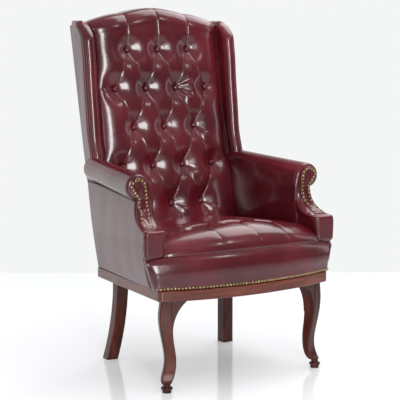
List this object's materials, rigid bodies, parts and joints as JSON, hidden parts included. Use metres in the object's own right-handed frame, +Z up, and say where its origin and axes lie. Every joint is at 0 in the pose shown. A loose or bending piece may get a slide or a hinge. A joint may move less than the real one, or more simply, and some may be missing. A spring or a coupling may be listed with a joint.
{
  "type": "high-back armchair",
  "caption": "High-back wing armchair in dark red leather with a deep-buttoned back, nailed scroll arms, a tight seat, a bowed mahogany rail and cabriole front legs.",
  "frame": {"origin": "on the floor under the middle of the chair", "axes": "+Z up, the chair faces -Y, +X to the right seen from the front"},
  "size_m": [0.69, 0.6689, 1.117],
  "materials": {
    "red_leather": "polished oxblood leather with a soft sheen",
    "mahogany": "satin mahogany stain",
    "frame_beech": "bare sawn beech",
    "nail_brass": "antiqued brass",
    "bolt_steel": "zinc-plated steel",
    "jute_webbing": "woven jute",
    "black_cambric": "thin black cloth"
  },
  "bodies": {
    "root": {"seat_pad": "red_leather", "front_border": "red_leather", "back_pad": "red_leather", "back_buttons": "red_leather", "seat_buttons": "red_leather", "outside_back": "red_leather", "wing_pad_left": "red_leather", "wing_pad_right": "red_leather", "wing_panel_left": "red_leather", "wing_panel_right": "red_leather", "arm_pad_left": "red_leather", "arm_pad_right": "red_leather", "arm_front_pad_left": "red_leather", "arm_front_pad_right": "red_leather", "arm_facing_left": "red_leather", "arm_facing_right": "red_leather", "outside_arm_left": "red_leather", "outside_arm_right": "red_leather", "front_rail": "mahogany", "side_rail_left": "mahogany", "side_rail_right": "mahogany", "rear_rail": "mahogany", "leg_front_left": "mahogany", "leg_front_right": "mahogany", "knee_bracket_left": "mahogany", "knee_bracket_right": "mahogany", "leg_back_left": "mahogany", "leg_back_right": "mahogany", "seat_frame_front": "frame_beech", "seat_frame_side_left": "frame_beech", "seat_frame_side_right": "frame_beech", "seat_frame_rear": "frame_beech", "corner_blocks": "frame_beech", "back_post_left": "frame_beech", "back_post_right": "frame_beech", "crest_rail": "frame_beech", "lower_back_rail": "frame_beech", "wing_frame_left": "frame_beech", "wing_frame_right": "frame_beech", "arm_rail_left": "frame_beech", "arm_rail_right": "frame_beech", "arm_stump_left": "frame_beech", "arm_stump_right": "frame_beech", "border_nails": "nail_brass", "facing_nails_left": "nail_brass", "facing_nails_right": "nail_brass", "leg_bolts": "bolt_steel", "seat_webbing": "jute_webbing", "back_webbing": "jute_webbing", "dust_cover": "black_cambric"}
  },
  "joints": []
}
